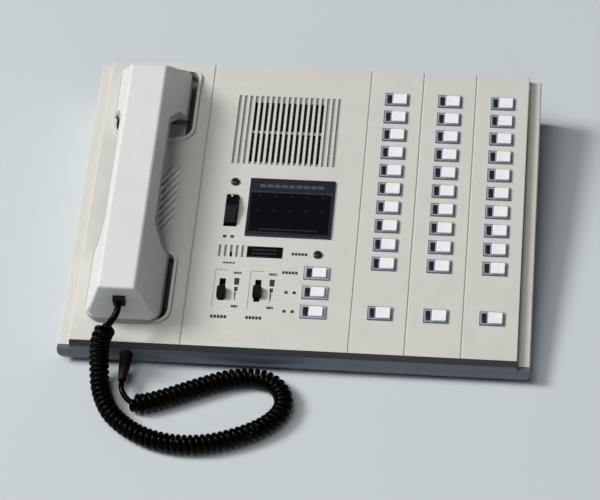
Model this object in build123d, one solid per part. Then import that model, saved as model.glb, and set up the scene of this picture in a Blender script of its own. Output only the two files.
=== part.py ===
from build123d import *
import math
import os

# A nurse call master station for a desk. A low console slopes down to the user. It has a handset in a
# cradle on the left, a control panel in the middle and three panels of station keys on the right.
# Millimetres. The origin is the middle of the footprint on the desk, X to the right, Y to the back, Z up.
# Most pieces are drawn on the sloping face: x from its left edge, y from its front edge, z out of it.
# A value named inset is a distance from the back edge of the face.

# Console
module_width = 37.5
cradle_modules = 2
control_modules = 3
key_panels = 3
face_depth = 235.0
tilt = 7.0
front_height = 20.0
foot_height = 3.0
pan_wall = 2.0
panel_top = 2.5
panel_wall = 2.0
panel_drop = 6.0
panel_edge = 0.4
ring_height = 3.0
seam = 0.6
fit = 0.2
seat = 0.3
rail_width = 8.5
rail_corner = 7.0
rail_edge = 1.2

# Front trim bar, its section measured back and down from the front edge of the face
trim_slope_run = 2.6
trim_slope_drop = 3.4
trim_step = 0.6
trim_bulge = 4.0
trim_foot_run = 2.8
trim_height = 16.6

# Handset: a flared section under a flat top, cut by a steep front end and a sloping back end
handset_x = 34.2
handset_top = 41.0
handset_top_half = 12.7
handset_waist_half = 18.0
handset_flare_half = 26.2
handset_handle = 25.0
handset_skirt = 3.0
handset_front = 14.2
handset_front_lean = 2.8
handset_back_inset = 10.5
handset_back_lean = 22.2
handset_corner = 10.0
handset_wall = 2.2
handset_plate = 2.4
mouth_back = 68.5
ear_front_inset = 53.0
grip_front = 82.0
grip_back_inset = 71.0
grip_bend = 7.0
grip_drop = 13.0
mouth_lean = 2.5
ear_lean = 3.5
cap_width = 44.0
mouth_cap_depth = 42.0
ear_cap_depth = 35.0
cap_corner = 6.0
cap_taper = 6.0
cap_bottom = 8.7
cap_slot_count = 3
cap_slot_pitch = 5.0
cap_slot_width = 2.0
cap_slot_length = 12.0
capsule_diameter = 26.0
capsule_height = 6.0
plug_size = 8.2
plug_edge = 0.5
plug_x = 35.2
plug_out = 3.0
plug_in = 6.0
plug_z = 27.5

# Cradle wells and the hook plunger
well_width = 58.2
well_x = 36.9
well_wall = 2.0
well_lip = 2.2
well_depth = 9.0
well_front_corner = 11.0
well_back_corner = 7.5
mouth_well_front = 15.0
mouth_well_depth = 57.6
ear_well_inset = 6.8
ear_well_depth = 62.0
plunger_x = 52.5
plunger_width = 12.2
plunger_inset = 45.0
plunger_depth = 19.5
plunger_step_depth = 6.0
plunger_top = 4.5
plunger_length = 12.2

# Slanting grooves over the tone sounder, with slots through them under the handle
sounder_x = 45.0
sounder_y = 122.0
sounder_diameter = 28.0
sounder_height = 6.0
sounder_groove_count = 8
sounder_groove_depth = 0.7
sounder_groove_width = 1.7
sounder_groove_pitch = 6.9
sounder_groove_angle = 55.0
sounder_groove_right = 59.3
sounder_groove_run = 13.0
sounder_groove_back = 143.6
sounder_slot_run = 4.5

# The control panel's own places: x from its left edge
# Speaker grille and microphone: grooves in the panel, with slots through the middle ones
groove_pitch = 3.93
groove_width = 2.1
groove_count = 19
groove_depth = 1.1
groove_inset = 26.3
groove_length = 59.3
grille_x = 55.9
slot_groove_count = 13
slot_front_margin = 2.7
slot_back_margin = 5.0
slot_rib = 2.4
speaker_diameter = 57.6
speaker_rim = 2.0
speaker_cone = 11.0
speaker_depth = 19.0
magnet_diameter = 32.0
microphone_x = 26.9
microphone_y = 76.3
microphone_groove_count = 5
microphone_groove_width = 1.8
microphone_groove_length = 9.5
microphone_slot_length = 4.6
microphone_diameter = 10.0

# Display, windows and pilot lamps
display_x = 64.3
display_y = 112.75
display_width = 59.2
display_depth = 47.6
display_height = 1.6
window_width = 55.0
window_depth = 32.7
window_y = 108.05
lens_recess = 0.4
lens_seat = 1.0
display_module_margin = 1.0
status_x = 49.9
status_y = 76.2
status_width = 24.6
status_depth = 9.0
status_height = 0.6
pilot_diameter = 6.0
pilot_height = 2.0
pilot_rounding = 1.5
call_pilot_x = 24.0
call_pilot_y = 133.3
power_pilot_x = 86.3
power_pilot_y = 75.9

# Talk lever on its pivot
lever_x = 23.7
lever_width = 8.0
lever_front = 97.8
lever_kink = 110.6
lever_back = 121.4
lever_rise = 5.4
lever_front_rise = 2.2
lever_back_rise = 2.6
lever_skirt = 1.2
lever_rounding = 3.0
lever_foot = 2.4
lever_side_gap = 0.6
lever_front_gap = 1.5
lever_back_gap = 0.9
lever_pivot_y = 110.0
lever_pivot_z = -4.6
pivot_diameter = 2.4
pivot_clearance = 0.05
ear_gap = 0.5
ear_thickness = 3.0
ear_reach = 3.0

# Slide volume controls
knob_width = 5.6
knob_depth = 8.8
knob_height = 4.8
knob_chamfer = 1.4
knob_stem = 3.0
knob_flange = 1.0
volume_slot_front = 36.3
volume_slot_length = 17.6
volume_slot_width = 4.2
left_volume_x = 23.6
left_volume_y = 41.5
right_volume_x = 47.9
right_volume_y = 43.0
slide_width = 9.0
slide_overrun = 6.0
slide_height = 5.0

# Keys, their frames and lamps
key_row_count = 10
top_row_inset = 25.2
bottom_row_y = 70.93
group_key_y = 31.4
column_shift = 0.4
station_frame = (16.7, 10.5)
station_cap = (9.3, 8.0)
station_cap_shift = 2.25
station_lamp_shift = -5.1
station_lamp_width = 3.0
function_frame = (17.6, 10.2)
function_cap = (9.4, 7.4)
function_cap_shift = 2.9
function_lamp_shift = -4.2
function_lamp_width = 2.8
function_x = 86.7
function_count = 3
function_top_y = 60.8
function_pitch = 15.43
frame_height = 1.2
frame_side_rest = 0.8
frame_end_rest = 0.5
cap_height = 2.4
cap_skirt = 1.2
cap_play = 0.2
key_stem = 4.0
key_lip = 0.7
key_travel = 1.2
lamp_depth = 6.0
lamp_height = 0.9
switch_size = 6.0
switch_height = 3.5

# Boards under the panels
board_drop = 12.0
board_thickness = 1.6
board_front = 12.0
control_board_back = 143.0
control_board_left = 4.0
control_board_right = 3.5
key_board_inset = 9.0
key_board_left = 3.0
key_board_right = 11.4
post_width = 6.0
post_margin = 4.0
hook_switch_width = 10.0
hook_switch_depth = 18.0
hook_switch_height = 9.0
hook_boss_width = 14.0
hook_boss_depth = 12.0

# Feet and case screws, placed from the edges of the face
foot_diameter = 14.0
foot_side_margin = 22.0
foot_end_margin = 21.0
screw_diameter = 3.0
screw_head = 5.6
screw_sink = 2.0
screw_length = 9.0
screw_boss = 8.0
screw_roof = 3.0
screw_side_margin = 7.5
screw_inset = 21.0
screw_front_y = 95.0

# Cords. The route of the curly cord's middle is chosen by hand, from the handset's plug to the front trim
lead_diameter = 3.4
lead_side_count = 8
lead_run = 4.6
wire_radius = 1.7
wire_side_count = 4
curl_radius = 4.5
curl_pitch = 6.8
curl_opening = 0.75
boot_side_margin = 38.8
boot_z = 11.0
boot_root = 8.7
boot_tip = 5.6
boot_neck = 5.2
boot_flange = 7.2
boot_flange_depth = 1.6
boot_straight = 6.0
boot_length = 23.0
boot_seat = 1.0
handset_lead_route = [(-116.2, -114.2, 46.4), (-119.4, -117.4, 43.2)]
coil_route = [
    (-123.6, -121.2, 38.0), (-126.4, -123.8, 31.0), (-127.6, -127.0, 21.6), (-127.6, -132.6, 12.8),
    (-126.4, -141.6, 7.9), (-123.0, -152.0, 6.8), (-115.4, -166.6, 6.8), (-97.0, -181.0, 6.8),
    (-73.4, -187.4, 6.8), (-50.0, -186.0, 6.8), (-27.6, -177.8, 6.8), (-10.2, -166.8, 6.8),
    (-1.2, -153.0, 6.8), (-5.0, -137.8, 6.8), (-19.4, -128.8, 6.8), (-40.0, -131.0, 6.8),
    (-60.0, -139.6, 6.8), (-80.0, -149.4, 6.8), (-97.0, -155.4, 6.9),
]
base_lead_route = [(-105.6, -156.0, 8.0), (-109.6, -151.4, 9.6)]

# Values that follow from the sizes above
lean = math.radians(tilt)
face_width = module_width * (cradle_modules + control_modules + key_panels)
face_front = (trim_bulge - face_depth * math.cos(lean) - panel_drop * math.sin(lean)) / 2
face_back = face_front + face_depth * math.cos(lean) + panel_drop * math.sin(lean)
face = Location((-face_width / 2, face_front, front_height), (tilt, 0, 0))
control_x = module_width * cradle_modules
keys_x = control_x + module_width * control_modules
control = face * Pos(control_x, 0, 0)
handset_back = face_depth - handset_back_inset
ear_front = face_depth - ear_front_inset
grip_back = face_depth - grip_back_inset
ear_well_front = face_depth - ear_well_inset - ear_well_depth
plunger_back = face_depth - plunger_inset
plunger_front = plunger_back - plunger_depth
plunger_middle = (plunger_front + plunger_back) / 2
groove_front = face_depth - groove_inset - groove_length
slot_front = groove_front + slot_front_margin
slot_back = groove_front + groove_length - slot_back_margin
grille_middle = (slot_front + slot_back) / 2
volume_slot_middle = volume_slot_front + volume_slot_length / 2
top_row_y = face_depth - top_row_inset
row_pitch = (top_row_y - bottom_row_y) / (key_row_count - 1)
control_board = (control_x + control_board_left, keys_x - control_board_right,
                 board_front, control_board_back)
key_board = (keys_x + key_board_left, face_width - key_board_right,
             board_front, face_depth - key_board_inset)
hook_switch_low = -plunger_top - plunger_length - seat - hook_switch_height
foot_x = face_width / 2 - foot_side_margin
foot_y = -face_front - foot_end_margin
screw_x = face_width / 2 - screw_side_margin
screw_rows = (face_front + screw_front_y, face_back - screw_inset)
boot_x = boot_side_margin - face_width / 2


def deck(y, drop):
    """height over the desk of the face at a place Y, or of the plane that lies drop below it"""
    return front_height + (y - face_front) * math.tan(lean) - drop / math.cos(lean)


def on_face(x, y, z):
    """a point of the sloping face, in the object's own frame"""
    return (face * Pos(x, y, z)).position


def block(x0, x1, y0, y1, z0, z1):
    return Pos((x0 + x1) / 2, (y0 + y1) / 2, (z0 + z1) / 2) * Box(x1 - x0, y1 - y0, z1 - z0)


def slab(x, y, width, depth, z0, z1):
    return block(x - width / 2, x + width / 2, y - depth / 2, y + depth / 2, z0, z1)


def disc(x, y, diameter, z0, z1):
    return Pos(x, y, (z0 + z1) / 2) * Cylinder(diameter / 2, z1 - z0)


def side_form(points, x0, x1):
    """a profile of (y, z) points drawn from x0 to x1"""
    profile = make_face(Polyline(*points, close=True).edges())
    return Pos(x0, 0, 0) * extrude(Plane.YZ * profile, x1 - x0)


def save(node, *solids):
    export_step(Compound(children=list(solids)), f"parts/{node}.step")


# Base pan: a tray with a level floor, with posts for the boards and bosses for the case screws
def pan_form(gap, floor, drop, half):
    front = face_front + gap
    back = face_back - gap + seat
    points = [(front, floor), (back, floor), (back, deck(back, drop)), (front, deck(front, drop))]
    return side_form(points, -half, half)


def board_posts(board):
    x0, x1, y0, y1 = board
    posts = []
    for x in (x0 + post_margin, x1 - post_margin):
        for y in (y0 + post_margin, y1 - post_margin):
            posts.append(slab(x, y, post_width, post_width, -face_depth, -board_drop - board_thickness))
    return posts


def screw_spots():
    return [(side * screw_x, y) for side in (-1, 1) for y in screw_rows]


def hook_boss():
    return slab(plunger_x, plunger_middle, hook_boss_width, hook_boss_depth, -face_depth, hook_switch_low)


def base_pan():
    half = face_width / 2 - fit
    pan = pan_form(seat, foot_height, panel_drop + fit, half)
    pan -= pan_form(seat + pan_wall, foot_height + pan_wall, -panel_top, half - pan_wall)
    inside = pan_form(seat + pan_wall, foot_height + pan_wall / 2, 0, half - pan_wall)
    for post in board_posts(control_board) + board_posts(key_board) + [hook_boss()]:
        pan += (face * post) & inside
    tip = foot_height + screw_length
    for x, y in screw_spots():
        pan += disc(x, y, screw_boss, foot_height, tip + screw_roof)
        pan -= disc(x, y, screw_head + 2 * fit, foot_height, foot_height + screw_sink)
        pan -= disc(x, y, screw_diameter + fit / 2, foot_height, tip + fit)
    return pan - boot_hole(boot_neck, face_front)


def feet_and_screws():
    pieces = []
    for x in (-foot_x, foot_x):
        for y in (-foot_y, foot_y):
            pieces.append(disc(x, y, foot_diameter, 0, foot_height))
    for x, y in screw_spots():
        neck = foot_height + screw_sink
        head = disc(x, y, screw_head, foot_height + fit, neck)
        pieces.append(head + disc(x, y, screw_diameter, neck, foot_height + screw_length))
    return pieces


# Side rails, one on each side, a little below the face and round along the outer bottom edge
def side_rail(side):
    inner = face_width / 2
    outer = inner + rail_width
    front = face_front + fit / 2
    points = [
        (front, foot_height), (face_back, foot_height),
        (face_back, deck(face_back, panel_drop)), (front, deck(front, panel_drop)),
    ]
    rail = side_form(points, inner, outer)
    long_edges = rail.edges().filter_by(lambda edge: abs(edge.tangent_at(0.5).Y) > 0.9)
    outer_edges = long_edges.group_by(Axis.X)[-1].sort_by(Axis.Z)
    rail = fillet(outer_edges[0], rail_corner)
    long_edges = rail.edges().filter_by(lambda edge: abs(edge.tangent_at(0.5).Y) > 0.9)
    rail = fillet(long_edges.group_by(Axis.X)[-1].sort_by(Axis.Z)[-1], rail_edge)
    if side < 0:
        rail = mirror(rail, Plane.YZ)
    return rail


# Front trim: a dark bar under the front edge, with end pieces that cover the rails
def trim_section():
    back = face_front - fit / 2
    top = front_height - seat
    slope_y = back - trim_slope_run
    slope_z = top - trim_slope_drop
    low = front_height - trim_height
    belly = (face_front - trim_bulge, (slope_z + low) / 2)
    outline = [
        Line((back, low), (back, top)),
        Line((back, top), (slope_y, slope_z)),
        Line((slope_y, slope_z), (slope_y, slope_z - trim_step)),
        ThreePointArc((slope_y, slope_z - trim_step), belly, (face_front - trim_foot_run, low)),
        Line((face_front - trim_foot_run, low), (back, low)),
    ]
    return Plane.YZ * make_face(outline)


def boot_hole(diameter, middle):
    """a level hole for the cord's sleeve, four bulges of the trim long and centred on the place middle"""
    return Pos(boot_x, middle, boot_z) * Rot(90, 0, 0) * Cylinder(diameter / 2 + fit, 4 * trim_bulge)


def front_trim():
    half = face_width / 2
    outer = half + rail_width
    bar = Pos(-half, 0, 0) * extrude(trim_section(), 2 * half)
    seat_y = face_front - trim_bulge + boot_seat
    bar -= boot_hole(boot_neck, face_front)
    bar -= boot_hole(boot_root, seat_y - 2 * trim_bulge)
    ends = []
    low = front_height - trim_height
    top = front_height - panel_drop - seat
    for side in (-1, 1):
        end = Pos(half + fit / 2, 0, 0) * extrude(trim_section(), rail_width - fit / 2)
        window = Rectangle(2 * rail_width, top - low)
        window = Pos(outer - rail_width, (top + low) / 2) * window
        corner = window.vertices().sort_by(Axis.X)[-2:].sort_by(Axis.Y)[0]
        window = fillet(corner, rail_corner)
        window = extrude(Plane.XZ * window, 3 * trim_bulge, both=True)
        end = end & (Pos(0, face_front, 0) * window)
        ends.append(end if side > 0 else mirror(end, Plane.YZ))
    return [bar] + ends


# Panel covers: moulded lids with short skirts, butted together with a narrow seam
def panel_cover(x0, x1):
    outer = block(x0 + seam / 2, x1 - seam / 2, 0, face_depth, -panel_drop, 0)
    top_edges = outer.edges().group_by(Axis.Z)[-1].filter_by(Axis.Y)
    outer = chamfer(top_edges, panel_edge)
    inner = block(x0 + seam / 2 + panel_wall, x1 - seam / 2 - panel_wall,
                  panel_wall, face_depth - panel_wall, -panel_drop, -panel_top)
    return outer - inner


def well_outline(front, depth, inset):
    outline = Pos(well_x, front + depth / 2) * Rectangle(well_width - 2 * inset, depth - 2 * inset)
    outline = fillet(outline.vertices().group_by(Axis.Y)[0], well_front_corner - inset)
    return fillet(outline.vertices().group_by(Axis.Y)[-1], well_back_corner - inset)


def sounder_grooves():
    """slanting grooves that end on one line at the right, with slots through them at the left"""
    stripes = []
    for i in range(sounder_groove_count):
        y = sounder_groove_back + (1 - i) * sounder_groove_pitch
        place = Pos(sounder_groove_right, y, 0) * Rot(0, 0, sounder_groove_angle)
        stripes.append(place * Box(face_depth, sounder_groove_width, 2 * panel_top))
    stripes = stripes[0] + stripes[1:]
    left = sounder_groove_right - sounder_groove_run
    half = sounder_diameter / 2
    groove_field = block(left, sounder_groove_right, 0, sounder_groove_back, -sounder_groove_depth, 0)
    slot_field = block(left, left + sounder_slot_run, sounder_y - half, sounder_y + half, -panel_top, 0)
    return [stripes & groove_field, stripes & slot_field]


def panel_ring(x, y, diameter):
    """a ring under a panel that holds a round unit"""
    ring = disc(x, y, diameter + 2 * panel_wall, -panel_top - ring_height, -panel_top)
    return ring - disc(x, y, diameter + 2 * fit, -panel_top - ring_height, -panel_top)


def cradle_panel():
    panel = panel_cover(0, control_x)
    for front, depth in ((mouth_well_front, mouth_well_depth), (ear_well_front, ear_well_depth)):
        outside = well_outline(front, depth, 0)
        inside = well_outline(front, depth, well_wall)
        floor = -well_depth - well_wall
        panel += Pos(0, 0, floor) * extrude(outside, well_lip - floor)
        panel -= Pos(0, 0, -well_depth) * extrude(inside, well_depth + well_lip)
    panel -= slab(plunger_x, plunger_middle, plunger_width + 2 * seat, plunger_depth + 2 * seat,
                  -well_depth - 2 * well_wall, 0)
    return panel + panel_ring(sounder_x, sounder_y, sounder_diameter) - sounder_grooves()


def hook_plunger():
    left = plunger_x - plunger_width / 2
    low = -plunger_top - plunger_length
    plunger = block(left, left + plunger_width, plunger_front, plunger_back, low, -plunger_top)
    step = plunger_back - plunger_step_depth
    return plunger - block(left, left + plunger_width, step, plunger_back, -cap_bottom - seat, -plunger_top)


# Control panel: grille, microphone slots, windows, lever, slide controls and function keys
def grooves(x, front, back, count, width, low):
    first = x - (count - 1) * groove_pitch / 2
    places = [first + i * groove_pitch for i in range(count)]
    return [block(x - width / 2, x + width / 2, front, back, low, 0) for x in places]


def grille_cuts():
    back = groove_front + groove_length
    slot = groove_width - fit
    cuts = grooves(grille_x, groove_front, back, groove_count, groove_width, -groove_depth)
    rib = (grille_middle - slot_rib / 2, grille_middle + slot_rib / 2)
    cuts += grooves(grille_x, slot_front, rib[0], slot_groove_count, slot, -panel_top)
    return cuts + grooves(grille_x, rib[1], slot_back, slot_groove_count, slot, -panel_top)


def microphone_cuts():
    front = microphone_y - microphone_groove_length / 2
    back = front + microphone_groove_length
    width = microphone_groove_width
    cuts = grooves(microphone_x, front, back, microphone_groove_count, width, -groove_depth)
    return cuts + grooves(microphone_x, front, front + microphone_slot_length, 1, width, -panel_top)


def key_hole(x, y, frame):
    return slab(x, y, frame[0] - 2 * frame_side_rest, frame[1] - 2 * frame_end_rest, -panel_top, 0)


def function_keys():
    return [(function_x, function_top_y - i * function_pitch) for i in range(function_count)]


def pilot_lamps():
    return [(call_pilot_x, call_pilot_y), (power_pilot_x, power_pilot_y)]


def volume_slides():
    return [(left_volume_x, left_volume_y), (right_volume_x, right_volume_y)]


def control_panel():
    panel = panel_cover(0, keys_x - control_x)
    panel += panel_ring(grille_x, grille_middle, speaker_diameter)
    panel += panel_ring(microphone_x, microphone_y, microphone_diameter)
    cuts = grille_cuts() + microphone_cuts()
    cuts.append(slab(display_x, display_y, display_width + fit, display_depth + fit, -panel_top, 0))
    cuts.append(slab(status_x, status_y, status_width, status_depth, -panel_top, 0))
    half = lever_width / 2 + lever_side_gap
    cuts.append(block(lever_x - half, lever_x + half,
                      lever_front - lever_front_gap, lever_back + lever_back_gap, -panel_top, 0))
    for x, y in pilot_lamps():
        cuts.append(disc(x, y, pilot_diameter + fit, -panel_top, 0))
    for x, y in volume_slides():
        cuts.append(slab(x, volume_slot_middle, volume_slot_width, volume_slot_length, -panel_top, 0))
    for x, y in function_keys():
        cuts.append(key_hole(x, y, function_frame))
    panel -= cuts
    return panel + lever_ears()


def lever_ears():
    ears = []
    for side in (-1, 1):
        middle = lever_x + side * (lever_width / 2 + ear_gap + ear_thickness / 2)
        ear = slab(middle, lever_pivot_y, ear_thickness, 2 * ear_reach, lever_pivot_z - ear_reach, -panel_top)
        bore = pivot_diameter + 2 * pivot_clearance
        ears.append(ear - pivot_rod(bore, 2 * lever_width))
    return ears


def pivot_rod(diameter, length):
    return Pos(lever_x, lever_pivot_y, lever_pivot_z) * Rot(0, 90, 0) * Cylinder(diameter / 2, length)


def talk_lever():
    foot = lever_pivot_z - lever_foot
    points = [
        (lever_front, -lever_skirt), (lever_front, lever_front_rise), (lever_kink, lever_rise),
        (lever_back, lever_back_rise), (lever_back, -lever_skirt),
        (lever_pivot_y + ear_reach, foot), (lever_pivot_y - ear_reach, foot),
    ]
    lever = side_form(points, lever_x - lever_width / 2, lever_x + lever_width / 2)
    lever = fillet(lever.edges().filter_by(Axis.X).sort_by(Axis.Z)[-1], lever_rounding)
    return lever + pivot_rod(pivot_diameter, lever_width + 2 * (ear_gap + ear_thickness) - fit)


def volume_knob(x, y):
    cap = slab(x, y, knob_width, knob_depth, seat, knob_height)
    cap = chamfer(cap.edges().group_by(Axis.Z)[-1].filter_by(Axis.X), knob_chamfer)
    low = -board_drop + slide_height + 2 * fit
    stem = slab(x, y, volume_slot_width - 2 * fit, knob_stem, low, seat)
    low = -panel_top - seat - knob_flange
    flange = slab(x, y, knob_width, knob_depth, low, low + knob_flange)
    return cap + stem + flange


def display_unit():
    bezel = slab(display_x, display_y, display_width, display_depth, -panel_top, display_height)
    bezel -= slab(display_x, window_y, window_width, window_depth, -panel_top, display_height)
    lens = slab(display_x, window_y, window_width - fit, window_depth - fit,
                -lens_seat, display_height - lens_recess)
    status = slab(status_x, status_y, status_width - fit, status_depth - fit, -panel_top, status_height)
    return [bezel, lens, status]


# Keys: a fixed frame holds a lamp on the left and guides the key cap on the right
def key_frame(x, y, frame, cap, cap_shift, lamp_shift, lamp_width):
    piece = slab(x, y, frame[0], frame[1], 0, frame_height)
    piece -= slab(x + cap_shift, y, cap[0] + 2 * fit, cap[1] + 2 * fit, 0, frame_height)
    return piece - slab(x + lamp_shift, y, lamp_width + fit, lamp_depth + fit, 0, frame_height)


def key_cap(x, y, cap, cap_shift):
    middle = x + cap_shift
    piece = slab(middle, y, cap[0], cap[1], -cap_skirt, cap_height)
    piece += slab(middle, y, cap[0] - 2 * cap_play, cap[1] + 2 * key_lip, -cap_skirt, -fit)
    low = -board_drop + switch_height + key_travel + seat
    return piece + slab(middle, y, key_stem, key_stem, low, -cap_skirt)


def key_lamp(x, y, lamp_shift, lamp_width):
    return slab(x + lamp_shift, y, lamp_width, lamp_depth, -board_drop + seat, lamp_height)


def station_keys():
    spots = []
    for panel in range(key_panels):
        x = keys_x + module_width * (panel + 0.5) + column_shift
        rows = [top_row_y - row * row_pitch for row in range(key_row_count)]
        for y in rows + [group_key_y]:
            spots.append((x, y))
    return spots


def pilot_lamp(x, y):
    lens = disc(x, y, pilot_diameter, -panel_top, pilot_height)
    return fillet(lens.edges().group_by(Axis.Z)[-1], pilot_rounding)


def key_panel(index):
    x0 = keys_x + module_width * index
    panel = panel_cover(x0, x0 + module_width)
    holes = [key_hole(x, y, station_frame) for x, y in station_keys() if x0 < x < x0 + module_width]
    return panel - holes


# Boards with the key switches, slide controls, display module and the hook switch
def key_switch(x, y):
    return slab(x, y, switch_size, switch_size, -board_drop, -board_drop + switch_height)


def control_units():
    """what the control board carries: switches, slide controls and the display module"""
    units = [key_switch(x + function_cap_shift, y) for x, y in function_keys()]
    length = volume_slot_length + 2 * slide_overrun
    top = -board_drop + slide_height
    for x, y in volume_slides():
        units.append(slab(x, volume_slot_middle, slide_width, length, -board_drop, top))
    width = window_width - 2 * display_module_margin
    depth = window_depth - 2 * display_module_margin
    units.append(slab(display_x, window_y, width, depth, -board_drop, -lens_seat - seat))
    return [Pos(control_x, 0, 0) * unit for unit in units]


def circuit_boards():
    low = -board_drop - board_thickness
    pieces = [block(*board, low, -board_drop) for board in (control_board, key_board)]
    pieces += [key_switch(x + station_cap_shift, y) for x, y in station_keys()]
    low = hook_switch_low
    pieces.append(slab(plunger_x, plunger_middle, hook_switch_width, hook_switch_depth,
                       low, low + hook_switch_height))
    return pieces + control_units()


# Speaker, microphone and tone sounder, each in its ring under a panel
def sound_units():
    top = -panel_top - seat
    r = speaker_diameter / 2
    neck = magnet_diameter / 2
    cone = top - speaker_cone
    low = top - speaker_depth
    profile = Polyline(
        (0, top), (r, top), (r, top - speaker_rim), (r - ring_height, top - speaker_rim),
        (neck - speaker_rim, cone), (neck, cone), (neck, low), (0, low), close=True)
    speaker = Pos(grille_x, grille_middle, 0) * revolve(Plane.XZ * make_face(profile.edges()), Axis.Z)
    microphone = disc(microphone_x, microphone_y, microphone_diameter, top - sounder_height, top)
    sounder = disc(sounder_x, sounder_y, sounder_diameter, top - sounder_height, top)
    return [Pos(control_x, 0, 0) * speaker, Pos(control_x, 0, 0) * microphone, sounder]


# Handset: an outer shell with flared sides, an inner shell with two caps, and the capsules inside.
# Its plan has round corners, which leave the narrow flat top with square ones
def handset_block(inset):
    top = handset_top - inset
    points = [(handset_top_half - inset, top), (handset_waist_half - inset, handset_handle),
              (handset_flare_half - inset, handset_skirt)]
    run = Vector(points[1][0] - points[0][0], points[1][1] - points[0][1])
    right = [Line(points[0], points[1]), TangentArc(points[1], points[2], tangent=run)]
    left = [mirror(edge, Plane.YZ) for edge in right]
    caps = [Line((-points[0][0], top), points[0]), Line((-points[2][0], handset_skirt), points[2])]
    section = make_face(right + left + caps)
    prism = extrude(Plane.XZ * section, -handset_back)
    front, back = handset_front + inset, handset_back - inset
    ends = [(front, handset_skirt), (front + handset_front_lean, top),
            (back - handset_back_lean, top), (back, handset_skirt)]
    plan = Pos(0, (front + back) / 2) * Rectangle(2 * (handset_flare_half - inset), back - front)
    plan = extrude(fillet(plan.vertices(), handset_corner - inset), handset_top)
    return prism & side_form(ends, -handset_back, handset_back) & plan


def grip_gap(grow):
    """the space under the handle, between the two cups, grown into the handset"""
    low = -3 * cap_bottom
    z = handset_handle + grow
    front = mouth_back - grow
    back = ear_front + grow
    points = [
        (front, low), (front, handset_skirt), (front + mouth_lean, z - grip_drop), (grip_front - grow, z),
        (grip_back + grow, z), (back - ear_lean, z - grip_drop), (back, handset_skirt), (back, low),
    ]
    outline = make_face(Polyline(*points, close=True).edges())
    corners = [v for v in outline.vertices() if v.Y > handset_skirt + 1]
    return fillet(corners, grip_bend)


def across(profile):
    return extrude(Plane.YZ * profile, handset_back, both=True)


def below(z):
    """all of the handset's space under a height"""
    return block(-handset_back, handset_back, -handset_back, 2 * handset_back, -handset_top, z)


def handset_cap(middle, depth, inset):
    top = handset_skirt + handset_plate
    outline = Rectangle(cap_width - 2 * inset, depth - 2 * inset)
    outline = chamfer(outline.vertices(), cap_corner - inset)
    cap = extrude(outline, top + cap_bottom - inset, taper=cap_taper)
    cap = mirror(cap, Plane.XY)
    return Pos(0, middle, top) * cap


def cap_middles():
    mouth = (handset_front + mouth_back) / 2
    ear = (ear_front + handset_back) / 2
    return [(mouth, mouth_cap_depth), (ear, ear_cap_depth)]


def handset_shells():
    body = handset_block(0)
    cavity = handset_block(handset_wall)
    skirt_top = handset_skirt + handset_plate
    plate_zone = across(grip_gap(handset_plate)) + below(skirt_top)
    open_zone = across(grip_gap(handset_plate + fit)) + below(skirt_top + fit)
    outer = body - open_zone - cavity
    inner = (body & plate_zone) - across(grip_gap(0))
    for middle, depth in cap_middles():
        inner += handset_cap(middle, depth, 0)
        inner -= handset_cap(middle, depth, handset_wall)
        for i in range(cap_slot_count):
            x = (i - (cap_slot_count - 1) / 2) * cap_slot_pitch
            inner -= slab(x, middle, cap_slot_width, cap_slot_length, -cap_bottom, 0)
    shift = Pos(handset_x, 0, 0)
    plug_hole = slab(plug_x - handset_x, handset_front + handset_front_lean, plug_size + 2 * fit,
                     4 * handset_wall, plug_z - plug_size / 2 - fit, plug_z + plug_size / 2 + fit)
    return shift * (outer - plug_hole), shift * inner


def handset_capsules():
    pieces = []
    for middle, depth in cap_middles():
        low = -cap_bottom + handset_wall + seat
        pieces.append(disc(handset_x, middle, capsule_diameter, low, low + capsule_height))
    return pieces


def plug_face():
    """the place along y of the plug's outer face"""
    share = (plug_z - handset_skirt) / (handset_top - handset_skirt)
    return handset_front + handset_front_lean * share - plug_out


def handset_plug():
    front = plug_face()
    piece = slab(plug_x, front + (plug_out + plug_in) / 2, plug_size, plug_out + plug_in,
                 plug_z - plug_size / 2, plug_z + plug_size / 2)
    return chamfer(piece.edges().group_by(Axis.Y)[0], plug_edge)


# Cords: straight runs joined by arcs as large as the runs allow
def arc_radii(points):
    radii = []
    for a, b, c in zip(points, points[1:], points[2:]):
        turn = math.radians((b - a).get_angle(c - b))
        radii.append(0.45 * min((b - a).length, (c - b).length) / math.tan(turn / 2))
    return radii


def cord_path(points, name):
    radii = arc_radii(points)
    print(name, "radii", [round(r, 1) for r in radii])
    return FilletPolyline(*points, radius=radii)


def lead(points, name):
    path = cord_path(points, name)
    section = Plane(origin=path @ 0, z_dir=path % 0) * RegularPolygon(lead_diameter / 2, lead_side_count)
    tube = sweep(section, path=path)
    print(name, "length", round(path.length, 1), "volume over section", round(tube.volume / section.area, 1))
    return tube


def join_point(p, p_dir, q, q_dir):
    """where the two arcs of a biarc meet"""
    gap = q - p
    total = p_dir + q_dir
    share = 2 * (1 - p_dir.dot(q_dir))
    along = gap.dot(total)
    reach = (-along + math.sqrt(along * along + share * gap.dot(gap))) / share
    return (p + q + (p_dir - q_dir) * reach) / 2


def curl_points(path):
    """points along the middle of the wire, eight to a quarter turn, and the number of turns"""
    turns = round((path.length - 2 * lead_diameter) / curl_pitch)
    steps = turns * 32
    start = lead_diameter / path.length
    side = Vector(0, 0, 1)
    points = []
    for i in range(steps + 1):
        share = start + (1 - 2 * start) * i / steps
        ahead = path % share
        side = (side - ahead * side.dot(ahead)).normalized()
        turn = turns * i / steps
        opening = min(1, turn / curl_opening, (turns - turn) / curl_opening)
        opening = opening * opening * (3 - 2 * opening)
        angle = 2 * math.pi * turn
        out = side * math.cos(angle) + ahead.cross(side) * math.sin(angle)
        points.append((path @ share) + out * (curl_radius * opening))
    return points, turns


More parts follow.
